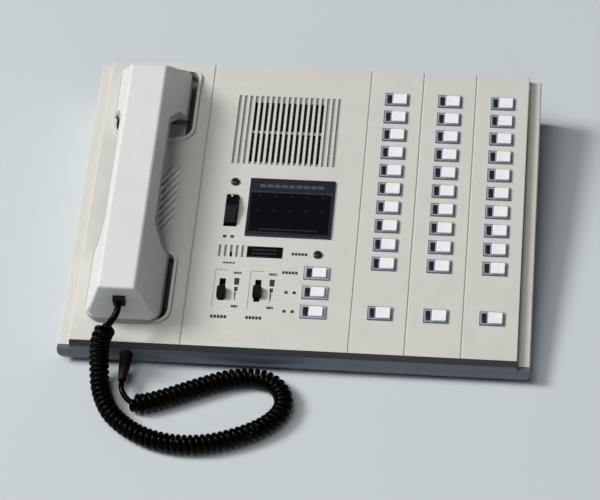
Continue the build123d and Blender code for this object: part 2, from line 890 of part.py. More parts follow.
def least_gap(points):
    """the least gap between turns of the wire, measured between points more than a third of a turn apart"""
    spots = points[::4]
    gap = min((a - b).length for i, a in enumerate(spots) for b in spots[i + 4:])
    return gap - 2 * wire_radius


def curly_cord(points):
    path = cord_path(points, "curly cord")
    wire_points, turns = curl_points(path)
    print("curls", turns, "least gap to itself", round(least_gap(wire_points), 2))
    marks = range(0, len(wire_points), 16)
    ends = [wire_points[i] for i in marks]
    ways = []
    for i in marks:
        before = wire_points[max(i - 1, 0)]
        after = wire_points[min(i + 1, len(wire_points) - 1)]
        ways.append((after - before).normalized())
    ways[0] = path % 0
    ways[-1] = path % 1
    edges = [Line(path @ 0, ends[0])]
    for p, q, p_dir, q_dir in zip(ends, ends[1:], ways, ways[1:]):
        middle = join_point(p, p_dir, q, q_dir)
        first = TangentArc(p, middle, tangent=p_dir)
        edges += [first, TangentArc(middle, q, tangent=first % 1)]
    edges.append(Line(ends[-1], path @ 1))
    section = Plane(origin=path @ 0, z_dir=path % 0) * RegularPolygon(wire_radius, wire_side_count)
    return sweep(section, path=Wire(edges), clean=False)


def middle_of(a, b):
    return (a + b) / 2


def cord_pieces():
    """the lead at the handset, the curly cord and the lead at the trim, cut in the middle of straight runs"""
    start = [on_face(plug_x, plug_face() - step, plug_z) for step in (0, lead_run)]
    start += [Vector(*point) for point in handset_lead_route]
    middle = [Vector(*point) for point in coil_route]
    end = [Vector(*point) for point in base_lead_route]
    end += [Vector(boot_x, boot_end() - step, boot_z) for step in (lead_run, 0)]
    first = middle_of(start[-1], middle[0])
    last = middle_of(middle[-1], end[0])
    coil = curly_cord([first] + middle + [last])
    return lead(start + [first], "handset lead"), coil, lead([last] + end, "base lead")


def boot_end():
    return face_front - trim_bulge + boot_seat - boot_length


def base_cord_boot():
    """a tapering sleeve that seats in the trim, with a neck through it and a flange behind the pan's wall"""
    shoulder = face_front - trim_bulge + boot_seat
    inside = face_front + pan_wall + 3 * seat
    points = [
        (0, boot_end()), (boot_tip / 2, boot_end()),
        (boot_root / 2, shoulder - boot_straight), (boot_root / 2, shoulder),
        (boot_neck / 2, shoulder), (boot_neck / 2, inside), (boot_flange / 2, inside),
        (boot_flange / 2, inside + boot_flange_depth), (0, inside + boot_flange_depth),
    ]
    profile = make_face(Polyline(*points, close=True).edges())
    return Pos(boot_x, 0, boot_z) * revolve(profile, Axis.Y)


os.makedirs("parts", exist_ok=True)
save("base_pan", base_pan())
save("feet_and_screws", *feet_and_screws())
save("side_rails", side_rail(-1), side_rail(1))
save("front_trim", *front_trim())
save("cradle_panel", face * cradle_panel())
save("control_panel", control * control_panel())
save("key_panels", *[face * key_panel(i) for i in range(key_panels)])
save("hook_plunger", face * hook_plunger())
save("talk_lever", control * talk_lever())
save("volume_knob_left", control * volume_knob(left_volume_x, left_volume_y))
save("volume_knob_right", control * volume_knob(right_volume_x, right_volume_y))
save("display_unit", *[control * piece for piece in display_unit()])
save("circuit_boards", *[face * piece for piece in circuit_boards()])
save("sound_units", *[face * piece for piece in sound_units()])

frames = []
lamps = [control * pilot_lamp(x, y) for x, y in pilot_lamps()]
for number, (x, y) in enumerate(station_keys(), 1):
    frames.append(face * key_frame(x, y, station_frame, station_cap, station_cap_shift, station_lamp_shift,
                                   station_lamp_width))
    lamps.append(face * key_lamp(x, y, station_lamp_shift, station_lamp_width))
    save(f"station_key_{number:02d}", face * key_cap(x, y, station_cap, station_cap_shift))
for number, (x, y) in enumerate(function_keys(), 1):
    frames.append(control * key_frame(x, y, function_frame, function_cap, function_cap_shift,
                                      function_lamp_shift, function_lamp_width))
    lamps.append(control * key_lamp(x, y, function_lamp_shift, function_lamp_width))
    save(f"function_key_{number}", control * key_cap(x, y, function_cap, function_cap_shift))
save("key_frames", *frames)
save("lamp_lenses", *lamps)

outer_shell, inner_shell = handset_shells()
save("handset_outer_shell", face * outer_shell)
save("handset_inner_shell", face * inner_shell)
save("handset_capsules", *[face * piece for piece in handset_capsules()])
save("handset_cord_plug", face * handset_plug())
handset_lead, coil, base_lead = cord_pieces()
save("cord_lead_handset", handset_lead)
save("curly_cord", coil)
save("cord_lead_base", base_lead)
save("base_cord_boot", base_cord_boot())
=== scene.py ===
# %% [markdown]
# A nurse call station in Blender
#
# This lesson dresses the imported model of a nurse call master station. The model gives the size and the place
# of every part, and the lesson gives each part the look of the real one: grained cream plastic, a dark trim
# along the front, small white keys in grey frames, a handset with soft edges and a black curly cord.
# Everything is in metres, in the model's own frame, with X to the right, Y to the back and Z up.

# %% Load the frame
import math
import bmesh
import bpy
from mathutils import Matrix, Vector

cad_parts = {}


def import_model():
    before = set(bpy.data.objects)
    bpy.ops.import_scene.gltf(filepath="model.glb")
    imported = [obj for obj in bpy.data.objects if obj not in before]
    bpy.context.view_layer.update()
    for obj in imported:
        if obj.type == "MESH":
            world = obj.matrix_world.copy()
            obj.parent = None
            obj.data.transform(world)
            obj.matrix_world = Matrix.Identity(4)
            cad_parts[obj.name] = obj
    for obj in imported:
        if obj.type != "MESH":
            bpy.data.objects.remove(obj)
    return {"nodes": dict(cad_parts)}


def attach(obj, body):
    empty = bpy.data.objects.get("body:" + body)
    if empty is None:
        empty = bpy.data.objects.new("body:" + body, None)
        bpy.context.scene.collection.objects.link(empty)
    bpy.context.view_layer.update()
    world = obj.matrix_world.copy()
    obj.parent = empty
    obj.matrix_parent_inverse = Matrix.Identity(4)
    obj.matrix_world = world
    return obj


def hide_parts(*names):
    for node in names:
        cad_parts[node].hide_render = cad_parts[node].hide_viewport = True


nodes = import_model()["nodes"]
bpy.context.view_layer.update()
mm = 0.001

# %% [markdown]
# The station's top slopes down to the user. Its small parts are easier to draw flat, in millimetres from the
# front left corner of that face, and to lay on the slope when they are done. So the lesson keeps one matrix
# for the face. Its tilt and its corner are sizes of the real object.

# %% The sloping face
face_tilt = math.radians(7)
face_width = 300 * mm
face_left = -face_width / 2
face_front = -0.11499
face_height = 0.020
face = Matrix.Translation((face_left, face_front, face_height)) @ Matrix.Rotation(face_tilt, 4, "X")
print("front left corner", face @ Vector((0, 0, 0)))

# %% [markdown]
# The camera stands in front of the station, a little to the right and well above it, as for a catalogue
# picture. Its lens is long, so that the sides stay nearly parallel. It leans by a few degrees, so that the
# station's front edge falls a little to the right in the frame.

# %% Camera
scene = bpy.context.scene


def add_to_scene(thing):
    scene.collection.objects.link(thing)


camera_data = bpy.data.cameras.new("catalogue_camera")
camera_data.lens = 146
camera_data.sensor_width = 36
camera_data.clip_start = 0.1
camera_data.clip_end = 20
camera = bpy.data.objects.new("catalogue_camera", camera_data)
camera.location = (0.1458, -1.0991, 1.2979)
camera.rotation_euler = [math.radians(turn) for turn in (40.186, 2.188, 5.283)]
add_to_scene(camera)
scene.camera = camera
print("camera", camera.location)

# %% [markdown]
# The station stands on a pale desk. The main light is a large soft lamp high on the left, which throws the
# handset's shadow over the cradle and makes the short shadows to the right of the keys. A weak lamp above and
# a weaker one in front lift the trim and the front faces, and a pale world fills the rest. The levels are low
# enough that the cream plastic keeps its colour.

# %% Desk, lamps and world
bpy.ops.object.select_all(action="DESELECT")
bpy.ops.mesh.primitive_plane_add(size=6, location=(0, 0, 0))
desk = bpy.context.object
desk.name = "desk"
desk_paint = bpy.data.materials.new("desk_paint")
desk_paint.use_nodes = True
desk_shader = desk_paint.node_tree.nodes["Principled BSDF"]
desk_shader.inputs["Base Color"].default_value = (0.60, 0.66, 0.69, 1)
desk_shader.inputs["Roughness"].default_value = 0.8
desk.data.materials.append(desk_paint)


def soft_lamp(name, place, size, power, tint):
    """a large round lamp that points at the middle of the desk"""
    data = bpy.data.lights.new(name, "AREA")
    data.shape = "DISK"
    data.size = size
    data.energy = power
    data.color = tint
    lamp = bpy.data.objects.new(name, data)
    lamp.location = place
    lamp.rotation_euler = (-Vector(place)).to_track_quat("-Z", "Y").to_euler()
    add_to_scene(lamp)


soft_lamp("left_lamp", (-6.7, 0.4, 6.7), 3.5, 722, (1.0, 0.99, 0.97))
soft_lamp("top_lamp", (-0.8, -0.5, 3.0), 2.0, 35, (1.0, 0.97, 0.95))
soft_lamp("front_lamp", (0.4, -3.2, 1.3), 1.8, 7, (0.88, 0.93, 1.0))
room = bpy.data.worlds.new("room")
room.use_nodes = True
sky = room.node_tree.nodes["Background"]
sky.inputs["Color"].default_value = (0.86, 0.92, 1.0, 1)
sky.inputs["Strength"].default_value = 0.05
scene.world = room
scene.view_settings.view_transform = "Standard"
print("lamps", [light.name for light in bpy.data.lights])

# %% [markdown]
# The materials are built from nodes. A few helpers keep that short: one links two nodes, one makes an empty
# node group, and three add a noise, a sum or a mix of colours.

# %% Helpers for nodes
def link(tree, source, source_socket, target, target_socket):
    tree.links.new(source.outputs[source_socket], target.inputs[target_socket])


def new_group(name, inputs, outputs):
    """a node group with its two ends and the coordinates; each input is a colour or a number"""
    group = bpy.data.node_groups.new(name, "ShaderNodeTree")
    for label, value in inputs.items():
        kind = "NodeSocketColor" if isinstance(value, tuple) else "NodeSocketFloat"
        group.interface.new_socket(label, in_out="INPUT", socket_type=kind).default_value = value
    for label, kind in outputs.items():
        group.interface.new_socket(label, in_out="OUTPUT", socket_type=kind)
    kinds = ("NodeGroupInput", "NodeGroupOutput", "ShaderNodeTexCoord")
    return group, *[group.nodes.new(kind) for kind in kinds]


def noise(tree, place, scale, scale_socket, detail, roughness):
    node = tree.nodes.new("ShaderNodeTexNoise")
    node.inputs["Detail"].default_value = detail
    node.inputs["Roughness"].default_value = roughness
    link(tree, place, "Object", node, "Vector")
    link(tree, scale, scale_socket, node, "Scale")
    return node


def maths(tree, operation, *values):
    """a math node; each value is a number, or a node and its socket"""
    node = tree.nodes.new("ShaderNodeMath")
    node.operation = operation
    for socket, value in enumerate(values):
        if isinstance(value, tuple):
            link(tree, *value, node, socket)
        else:
            node.inputs[socket].default_value = value
    return node


def mix_colours(tree, factor, factor_socket, a, a_socket, b, b_socket, blend="MIX"):
    node = tree.nodes.new("ShaderNodeMix")
    node.data_type = "RGBA"
    node.blend_type = blend
    link(tree, factor, factor_socket, node, "Factor")
    link(tree, a, a_socket, node, "A")
    link(tree, b, b_socket, node, "B")
    return node


print("node helpers are ready")

# %% [markdown]
# Two effects come back in most of the finishes, so each is made once as a node group. The first is moulded
# grain: the tool's surface leaves a fine, shallow texture on plastic. It has two sizes of noise: the fine
# one feeds a bump and a faint change of gloss, and the wide one a faint change of colour. The second is
# soiling: a weak, cloudy darkening of parts that hands touch for years. Both read Object coordinates, which
# stay true to size on every piece.

# %% Node groups for grain and soiling
wide_grain_share = 0.03
grain_height = 0.0002
gloss_change = 0.06


def grain_group():
    group, start, end, place = new_group(
        "moulded_grain",
        {"Color": (0.6, 0.6, 0.6, 1), "Scale": 900.0, "Depth": 0.15, "Mottle": 0.05, "Roughness": 0.5},
        {"Color": "NodeSocketColor", "Roughness": "NodeSocketFloat", "Normal": "NodeSocketVector"})
    fine = noise(group, place, start, "Scale", 3.0, 0.6)
    wide_scale = maths(group, "MULTIPLY", (start, "Scale"), wide_grain_share)
    wide = noise(group, place, wide_scale, 0, 4.0, 0.55)
    bump = group.nodes.new("ShaderNodeBump")
    bump.inputs["Distance"].default_value = grain_height
    link(group, start, "Depth", bump, "Strength")
    link(group, fine, "Fac", bump, "Height")
    shade = group.nodes.new("ShaderNodeMapRange")
    shade.inputs["From Min"].default_value = 0.3
    shade.inputs["From Max"].default_value = 0.7
    link(group, wide, "Fac", shade, "Value")
    darker = mix_colours(group, start, "Mottle", start, "Color", shade, "Result", "MULTIPLY")
    uneven = group.nodes.new("ShaderNodeMapRange")
    uneven.inputs["To Min"].default_value = -gloss_change
    uneven.inputs["To Max"].default_value = gloss_change
    link(group, fine, "Fac", uneven, "Value")
    gloss = maths(group, "ADD", (start, "Roughness"), (uneven, "Result"))
    link(group, darker, "Result", end, "Color")
    link(group, gloss, 0, end, "Roughness")
    link(group, bump, "Normal", end, "Normal")
    return group


def soiling_group():
    group, start, end, place = new_group(
        "handled_soiling",
        {"Color": (0.6, 0.6, 0.6, 1), "Dirt": (0.2, 0.17, 0.12, 1), "Amount": 0.2, "Scale": 40.0},
        {"Color": "NodeSocketColor"})
    cloud = noise(group, place, start, "Scale", 6.0, 0.65)
    patch = group.nodes.new("ShaderNodeMapRange")
    patch.inputs["From Min"].default_value = 0.45
    patch.inputs["From Max"].default_value = 0.8
    link(group, cloud, "Fac", patch, "Value")
    amount = maths(group, "MULTIPLY", (start, "Amount"), (patch, "Result"))
    soiled = mix_colours(group, amount, 0, start, "Color", start, "Dirt")
    link(group, soiled, "Result", end, "Color")
    return group


moulded_grain = grain_group()
handled_soiling = soiling_group()
print("node groups", [group.name for group in bpy.data.node_groups])

# %% [markdown]
# The grooves of the grille and the microphone go almost black towards their bottom: painted shade, which
# deepens the shadow in them. A third group gives that: it measures how far a point lies below the sloping
# face, as a distance along the face's normal, and mixes the colour towards a dark one with the depth. The
# cradle's two wells use it as well, with a grey that paints a deeper shade in them. Two limits keep it off the
# outer skirts of the covers at the left and at the back, which stay cream.

# %% Node group for painted shade in slots
left_limit, back_limit = -0.146, 0.114


def slot_shade_group():
    group, start, end, place = new_group(
        "painted_slot_shade",
        {"Color": (0.6, 0.6, 0.6, 1), "Dark": (0.01, 0.01, 0.01, 1), "Upper": -0.0006, "Lower": -0.0022},
        {"Color": "NodeSocketColor"})
    normal = face.to_3x3() @ Vector((0, 0, 1))
    along_normal = group.nodes.new("ShaderNodeVectorMath")
    along_normal.operation = "DOT_PRODUCT"
    along_normal.inputs[1].default_value = normal
    link(group, place, "Object", along_normal, 0)
    height = maths(group, "SUBTRACT", (along_normal, "Value"), normal.dot(face.translation))
    shade_by_depth = group.nodes.new("ShaderNodeMapRange")
    shade_by_depth.interpolation_type = "SMOOTHSTEP"
    link(group, height, 0, shade_by_depth, "Value")
    link(group, start, "Upper", shade_by_depth, "From Min")
    link(group, start, "Lower", shade_by_depth, "From Max")
    axes = group.nodes.new("ShaderNodeSeparateXYZ")
    link(group, place, "Object", axes, "Vector")
    last, last_socket = shade_by_depth, "Result"
    for axis, kind, limit in (("X", "GREATER_THAN", left_limit), ("Y", "LESS_THAN", back_limit)):
        within = maths(group, kind, (axes, axis), limit)
        last, last_socket = maths(group, "MULTIPLY", (last, last_socket), (within, 0)), 0
    shaded = mix_colours(group, last, last_socket, start, "Color", start, "Dark")
    link(group, shaded, "Result", end, "Color")
    return group


painted_slot_shade = slot_shade_group()
print("slots darken below the face, to", painted_slot_shade.name)

# %% [markdown]
# Each finish is a Principled shader with its own colour, gloss and grain. A finish is written as one line of
# values, so that two plastics can be compared at a glance. Colours are given as they show on screen, from 0
# to 255, and turned into linear light once.

# %% Finishes
def linear(value):
    value = value / 255
    return value / 12.92 if value <= 0.04045 else ((value + 0.055) / 1.055) ** 2.4


def screen(red, green, blue):
    return linear(red), linear(green), linear(blue), 1


dirt_colour = (90, 80, 60)


def add_group(tree, group, **values):
    node = tree.nodes.new("ShaderNodeGroup")
    node.node_tree = group
    for name, value in values.items():
        node.inputs[name].default_value = value
    return node


def plastic(name, colour, roughness, grain, depth, mottle, soil=0.0, slots=None, slot_shade_colour=(16, 16, 17),
            specular=0.5):
    """a grained plastic; slots are heights in mm from the face where a slot's painted shade starts and is full
    """
    paint = bpy.data.materials.new(name)
    paint.use_nodes = True
    tree = paint.node_tree
    shader = tree.nodes["Principled BSDF"]
    texture = add_group(tree, moulded_grain, Color=screen(*colour), Scale=grain, Depth=depth, Mottle=mottle,
                        Roughness=roughness)
    last = texture
    if soil:
        last = add_group(tree, handled_soiling, Dirt=screen(*dirt_colour), Amount=soil)
        link(tree, texture, "Color", last, "Color")
    if slots:
        dark = add_group(tree, painted_slot_shade, Dark=screen(*slot_shade_colour), Upper=slots[0] * mm, Lower=slots[1] * mm)
        link(tree, last, "Color", dark, "Color")
        last = dark
    link(tree, last, "Color", shader, "Base Color")
    link(tree, texture, "Roughness", shader, "Roughness")
    link(tree, texture, "Normal", shader, "Normal")
    shader.inputs["Specular IOR Level"].default_value = specular
    return paint


cream_panel = plastic("cream_panel", (213, 213, 206), 0.55, 1400, 0.35, 0.05, 0.10)
cream_rail = plastic("cream_rail", (212, 211, 203), 0.5, 1100, 0.2, 0.04, 0.08)
charcoal_trim = plastic("charcoal_trim", (52, 53, 56), 0.4, 1200, 0.2, 0.08)
# The next finish is a lighter, bluish copy of the charcoal for the trim's lower belly: a painted sheen for the
# desk's reflection.
trim_painted_sheen = plastic("trim_painted_sheen", (100, 105, 121), 0.3, 1200, 0.15, 0.08)
charcoal_pan = plastic("charcoal_pan", (62, 63, 66), 0.55, 1000, 0.4, 0.08)
handset_cream = plastic("handset_cream", (227, 227, 226), 0.36, 1500, 0.12, 0.03, 0.06)
# The next finish is the handset's cream darkened: painted shade on the inner shell's flanks and cups.
handset_painted_shade = plastic("handset_painted_shade", (154, 155, 158), 0.4, 1500, 0.12, 0.04, 0.10)
# Each frame has a floor finish and a darker rim finish; the darker one is painted shade round the frame.
frame_grey = plastic("frame_grey", (164, 166, 180), 0.4, 1500, 0.1, 0.05)
frame_grey_painted_rim_shade = plastic("frame_grey_painted_rim_shade", (110, 110, 124), 0.35, 1500, 0.1, 0.05)
frame_pale = plastic("frame_pale", (184, 182, 196), 0.4, 1500, 0.1, 0.05)
frame_pale_painted_rim_shade = plastic("frame_pale_painted_rim_shade", (142, 139, 152), 0.35, 1500, 0.1, 0.05)
key_white = plastic("key_white", (246, 247, 253), 0.3, 2000, 0.04, 0.02)
lamp_navy = plastic("lamp_navy", (36, 38, 48), 0.2, 2000, 0.03, 0.1)
black_knob = plastic("black_knob", (8, 9, 12), 0.5, 1500, 0.15, 0.05, specular=0.14)
black_rubber = plastic("black_rubber", (8, 8, 10), 0.5, 1200, 0.2, 0.08, specular=0.25)
cord_black = plastic("cord_black", (4, 5, 6), 0.22, 1500, 0.05, 0.05, specular=0.06)
display_black = plastic("display_black", (9, 11, 15), 0.16, 2000, 0.01, 0.02)
display_navy = plastic("display_navy", (30, 34, 48), 0.32, 1500, 0.08, 0.04)
# The ribs' cream is lighter than the panel's: a painted highlight.
rib_painted_highlight = plastic("rib_painted_highlight", (250, 248, 244), 0.5, 1400, 0.2, 0.03)
print_ink = plastic("print_ink", (40, 41, 46), 0.55, 2500, 0.1, 0.15)
dim_segments = plastic("dim_segments", (74, 80, 96), 0.4, 2500, 0.05, 0.15)
faint_segments = plastic("faint_segments", (46, 50, 60), 0.4, 2500, 0.05, 0.15)
# The cradle's wells get painted shade: a grey towards their floor.
cream_cradle = plastic("cream_cradle", (213, 213, 206), 0.55, 1400, 0.35, 0.05, 0.10,
                       slots=(-0.8, -5.0), slot_shade_colour=(112, 113, 112))
# The grille and microphone grooves get painted shade: near black towards their bottom.
cream_control = plastic("cream_control", (213, 213, 206), 0.55, 1400, 0.35, 0.05, 0.10,
                        slots=(-0.32, -1.9))
# The strips in the seams are a darker cream: painted shade.
seam_painted_shade = plastic("seam_painted_shade", (180, 177, 170), 0.6, 1400, 0.3, 0.08)
plunger_cream = plastic("plunger_cream", (226, 227, 226), 0.45, 1300, 0.2, 0.05, 0.15)
board_green = plastic("board_green", (40, 92, 60), 0.5, 1200, 0.2, 0.1)
speaker_dark = plastic("speaker_dark", (24, 24, 24), 0.8, 1500, 0.5, 0.2)
print("finishes", len(bpy.data.materials))

# %% [markdown]
# The parts that stay as the model has them keep their own mesh and only get a finish. All the others are
# replaced further on.

# %% Finishes of the model's own parts
finish_of = {
    "base_pan": charcoal_pan, "feet_and_screws": black_rubber, "side_rails": cream_rail,
    "circuit_boards": board_green, "sound_units": speaker_dark, "handset_capsules": speaker_dark,
}


def give_finish(piece, finish):
    """one finish for the whole piece"""
    piece.data.materials.clear()
    piece.data.materials.append(finish)


for name, finish in finish_of.items():
    give_finish(nodes[name], finish)
print("parts with a finish", list(finish_of))

# %% [markdown]
# The cord goes first, because it reaches further than anything else. On the real station a smooth lead comes
# out of the handset's plug, winds into a long tight coil that lies on the desk in a loop, and ends in a
# second smooth lead that runs into a sleeve in the front trim. One route carries all of it. It is drawn as a
# few points, made into a smooth curve, and read back as closely spaced points.

# %% The cord's route
cord_route = [
    (-114.8, -105.43, 48.88), (-114.8, -110.0, 48.3), (-116.2, -114.2, 46.4), (-119.4, -117.4, 43.2),
    (-123.6, -121.2, 38.0), (-126.4, -123.8, 31.0), (-127.6, -127.0, 21.6), (-127.6, -132.6, 12.8),
    (-126.4, -141.6, 7.9), (-123.0, -152.0, 6.8), (-115.4, -166.6, 6.8), (-97.0, -181.0, 6.8),
    (-73.4, -187.4, 6.8), (-50.0, -186.0, 6.8), (-27.6, -177.8, 6.8), (-10.2, -166.8, 6.8),
    (-1.2, -153.0, 6.8), (-5.0, -137.8, 6.8), (-19.4, -128.8, 6.8), (-40.0, -131.0, 6.8),
    (-60.0, -139.6, 6.8), (-80.0, -149.4, 6.8), (-93.4, -154.8, 6.8), (-100.4, -156.4, 7.2),
    (-105.0, -155.2, 8.2), (-108.0, -152.2, 9.4), (-110.2, -148.8, 10.5), (-111.2, -145.2, 11.0),
    (-111.2, -141.0, 11.0),
]
route_steps = 24


def smooth_points(points, steps):
    """points of a smooth curve that follows the given points, which are in millimetres"""
    curve = bpy.data.curves.new("route", "CURVE")
    curve.dimensions = "3D"
    curve.resolution_u = steps
    spline = curve.splines.new("NURBS")
    spline.points.add(len(points) - 1)
    for point, place in zip(spline.points, points):
        point.co = (*[value * mm for value in place], 1)
    spline.order_u = 3
    spline.use_endpoint_u = True
    guide = bpy.data.objects.new("route", curve)
    line = bpy.data.meshes.new_from_object(guide)
    read = [vertex.co.copy() for vertex in line.vertices]
    bpy.data.objects.remove(guide)
    bpy.data.curves.remove(curve)
    bpy.data.meshes.remove(line)
    return read


def travelled(points):
    """distance along a line of points, at each point"""
    total = [0.0]
    for a, b in zip(points, points[1:]):
        total.append(total[-1] + (b - a).length)
    return total


def length_of(line):
    return travelled(line)[-1]


route_points = smooth_points(cord_route, route_steps)
print("route", len(route_points), "points", round(length_of(route_points) / mm), "mm")

# %% [markdown]
# A helix is wound round the middle of the route. At each step a small frame of two cross directions is
# carried along without twisting, and the wire's centre turns round it. The helix opens from the smooth lead
# within its first turn and closes again within its last one. It is a little wider where it hangs from the
# handset, because the curls bunch up there. The wire is then a round tube that follows these points.

# %% Winding the curls
lead_width = 4.6 * mm
wire_width = 3.8 * mm
curl_radius = 4.6 * mm
curl_pitch = 4.1 * mm
points_per_curl = 20
curl_opening = 0.6
bunched_radius = 0.6 * mm
bunched_share = 3.5
coil_start_point = Vector((-121.2, -118.9, 40.8)) * mm
coil_end_point = Vector((-103.5, -156.0, 7.7)) * mm


def nearest_index(points, place):
    return min(range(len(points)), key=lambda i: (points[i] - place).length)


def even_points(points, count):
    """the same line with its points evenly spaced"""
    total = travelled(points)
    spaced = []
    segment = 0
    for i in range(count + 1):
        goal = total[-1] * i / count
        while segment < len(total) - 2 and total[segment + 1] < goal:
            segment += 1
        share = (goal - total[segment]) / max(total[segment + 1] - total[segment], 1e-9)
        spaced.append(points[segment].lerp(points[segment + 1], min(max(share, 0), 1)))
    return spaced


def carried_frame(line):
    """each point of a line with two cross directions that are carried along without twisting"""
    side = Vector((0, 0, 1))
    for i, place in enumerate(line):
        ahead = (line[min(i + 1, len(line) - 1)] - line[max(i - 1, 0)]).normalized()
        side = (side - ahead * side.dot(ahead)).normalized()
        yield place, side, ahead.cross(side)


def wind(points):
    """the centre of the wire as it curls round the line, and the number of curls"""
    curls = round(length_of(points) / curl_pitch)
    line = even_points(points, curls * points_per_curl)
    wound = []
    for i, (place, side, across) in enumerate(carried_frame(line)):
        turn = i / points_per_curl
        opening = min(1, turn / curl_opening, (curls - turn) / curl_opening)
        opening = opening * opening * (3 - 2 * opening)
        radius = curl_radius + bunched_radius * max(0, 1 - bunched_share * turn / curls)
        angle = 2 * math.pi * turn
        out = side * math.cos(angle) + across * math.sin(angle)
        wound.append(place + out * radius * opening)
    return wound, curls


coil_start = nearest_index(route_points, coil_start_point)
coil_end = nearest_index(route_points, coil_end_point)
coil_line, curl_count = wind(route_points[coil_start:coil_end + 1])
handset_line = route_points[:coil_start + 1]
base_line = coil_line + route_points[coil_end + 1:]
print("curls", curl_count, "wire", round(length_of(coil_line) / mm), "mm")

# %% [markdown]
# The tube itself is a mesh: a ring of points at each step, joined to the next ring, and closed at both ends.
# It is one clean piece whose wire goes on where the coil ends, up to the sleeve in the trim. The short lead
# at the plug is a tube of its own, because it moves with the handset.

# %% Cord pieces
tube_sides = 10


def tube(name, line, width):
    """a round tube along a line of points, closed at both ends"""
    mesh = bpy.data.meshes.new(name)
    form = bmesh.new()
    angles = [2 * math.pi * k / tube_sides for k in range(tube_sides)]
    rings = []
    for place, side, across in carried_frame(line):
        rings.append([form.verts.new(place + (side * math.cos(angle) + across * math.sin(angle)) * width / 2)
                      for angle in angles])
    for a, b in zip(rings, rings[1:]):
        for k in range(tube_sides):
            following = (k + 1) % tube_sides
            form.faces.new((a[k], a[following], b[following], b[k]))
    form.faces.new(list(reversed(rings[0])))
    form.faces.new(rings[-1])
    bmesh.ops.recalc_face_normals(form, faces=form.faces)
    form.to_mesh(mesh)
    form.free()
    for polygon in mesh.polygons:
        polygon.use_smooth = True
    piece = bpy.data.objects.new(name, mesh)
    add_to_scene(piece)
    return piece


handset_lead = tube("handset_lead_wire", handset_line, lead_width)
give_finish(handset_lead, cord_black)
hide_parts("cord_lead_handset")
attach(handset_lead, "handset")
print(handset_lead.name, "length", round(length_of(handset_line), 3))

curly_line = list(reversed(base_line))
curly = tube("curly_cord_wire", curly_line, wire_width)
give_finish(curly, cord_black)
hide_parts("curly_cord", "cord_lead_base")
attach(curly, "console")
print(curly.name, "length", round(length_of(curly_line), 3), "faces", len(curly.data.polygons))

# %% [markdown]
# The small parts of the face come next. They are modelled flat, in millimetres, where they stand on the face,
# and then laid on the slope. A few helpers do what a hand does in the window: add a block at its size, pick
# faces or edges by their place and direction, and round what is picked. Everything is deselected before a
# block is added, because an operator acts on all that is selected.

# %% Blocks and picking
def switch_mode(name):
    bpy.ops.object.mode_set(mode=name)


def fresh_start():
    """object mode with nothing selected"""
    if bpy.context.object and bpy.context.object.mode != "OBJECT":
        switch_mode("OBJECT")
    bpy.ops.object.select_all(action="DESELECT")


def add_block(name, middle, size):
    """a block on the flat face, in millimetres, with its place and size in its mesh"""
    fresh_start()
    bpy.ops.mesh.primitive_cube_add(size=1, location=Vector(middle) * mm)
    piece = bpy.context.object
    piece.scale = Vector(size) * mm
    piece.name = name
    piece.data.name = name
    bpy.ops.object.transform_apply(location=True, rotation=True, scale=True)
    return piece


def start_picking(kind):
    """nothing picked, and faces or edges next to be picked"""
    switch_mode("EDIT")
    bpy.ops.mesh.select_mode(type=kind)
    bpy.ops.mesh.select_all(action="DESELECT")
    switch_mode("OBJECT")


def pick_faces(piece, wanted):
    """edit mode with only those faces picked whose middle, in millimetres, and normal are wanted"""
    start_picking("FACE")
    for polygon in piece.data.polygons:
        polygon.select = bool(wanted(polygon.center / mm, polygon.normal))
    switch_mode("EDIT")


def pick_edges(piece, wanted):
    """edit mode with only those edges picked whose middle, in millimetres, and direction are wanted"""
    start_picking("EDGE")
    points = [vertex.co for vertex in piece.data.vertices]
    for edge in piece.data.edges:
        a, b = [points[i] for i in edge.vertices]
        edge.select = bool(wanted((a + b) / 2 / mm, (b - a).normalized()))
    switch_mode("EDIT")


def faces_up(middle, normal):
    return normal.z > 0.9


def round_picked(width, segments):
    """rounds the picked edges, by a width in millimetres"""
    bpy.ops.mesh.bevel(offset=width * mm, segments=segments, affect="EDGES")


print("helpers for blocks are ready")

# %% [markdown]
# More helpers finish a piece. They smooth its faces, lay a copy of it on the slope, and join several pieces
# into one.

# %% Smoothing, copying and joining
def work_on(piece):
    """object mode with one piece selected and active"""
    fresh_start()
    piece.select_set(True)
    bpy.context.view_layer.objects.active = piece


def smooth_flats(piece, angle=35):
    """smooth shading, with the edges sharper than the angle kept crisp"""
    work_on(piece)
    bpy.ops.object.shade_smooth_by_angle(angle=math.radians(angle))


def copy_at(pattern, name, x, y):
    """a copy of a pattern piece with its own mesh, moved on the flat face and laid on the slope"""
    mesh = pattern.data.copy()
    mesh.name = name
    mesh.transform(face @ Matrix.Translation(Vector((x, y, 0)) * mm))
    piece = bpy.data.objects.new(name, mesh)
    add_to_scene(piece)
    return piece


def join(name, pieces):
    """several pieces made one"""
    fresh_start()
    for piece in pieces:
        piece.select_set(True)
    bpy.context.view_layer.objects.active = pieces[0]
    bpy.ops.object.join()
    pieces[0].name = name
    pieces[0].data.name = name
    return pieces[0]


print("helpers for pieces are ready")

# %% [markdown]
# A key cap is a small white block with rounded upright edges, a soft upper edge and a shallow dish for the
# finger. The block's upright edges are bevelled first, then the edge round its top. The top face is extruded
# three times, a little lower and smaller each time, for the dish. A lip in front of the foot and another
# behind it keep the cap from coming out through its frame, and are extruded outwards from those two faces.
# One cap is modelled for each size, and each key gets its own copy.

# %% A key cap
cap_skirt = 1.2
cap_top = 2.4
cap_corner, cap_edge = 0.6, 0.35
dish_step, dish_shares = 0.06, (0.8, 0.7, 0.5)
cap_lip, lip_height = 0.45, -0.2
station_cap = (9.6, 8.5)
function_cap = (9.2, 7.4)


